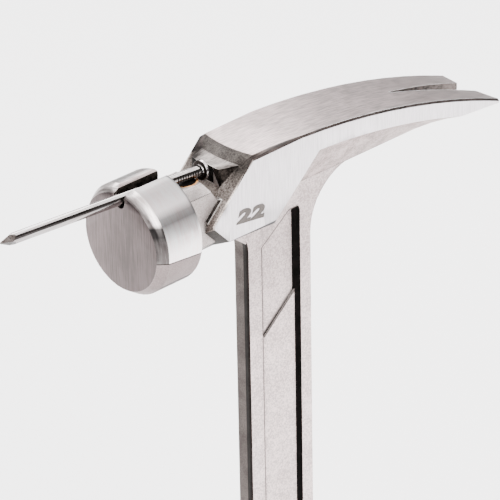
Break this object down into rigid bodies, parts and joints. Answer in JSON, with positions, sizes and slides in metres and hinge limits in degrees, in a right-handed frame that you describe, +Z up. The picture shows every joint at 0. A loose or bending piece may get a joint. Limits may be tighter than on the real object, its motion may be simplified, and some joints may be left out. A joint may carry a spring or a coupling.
{
  "type": "framing hammer",
  "caption": "Forged framing hammer with a straight split claw, a groove and magnet that hold a nail for starting, a stepped I-section shank and a cushioned grip.",
  "frame": {"origin": "on the flat underside of the butt, in line with the middle of the shank", "axes": "+Z up the shank to the head, -X the way the striking face looks, +X the way the claw points, +Y across the hammer"},
  "size_m": [0.1936, 0.0348, 0.3833],
  "materials": {
    "forged_steel": "satin ground side faces and crown over a fine blasted forging skin, fine-lined striking face",
    "magnet_plating": "satin nickel plate",
    "sleeve_brass": "plain turned",
    "nail_steel": "bright drawn wire",
    "liner_rubber": "matte",
    "core_plastic": "fine matte",
    "cover_rubber": "matte moulded",
    "cap_plastic": "fine matte"
  },
  "bodies": {
    "hammer": {"forged_body": "forged_steel", "starter_magnet": "magnet_plating", "magnet_sleeve": "sleeve_brass", "damping_liner": "liner_rubber", "grip_core": "core_plastic", "grip_cover": "cover_rubber", "butt_cap": "cap_plastic"},
    "nail": {"framing_nail": "nail_steel"}
  },
  "joints": [
    {"name": "nail_lift", "type": "slide", "parent": "hammer", "child": "nail", "axis": [0, 0, 1], "range_m": [0, 0.03]}
  ]
}
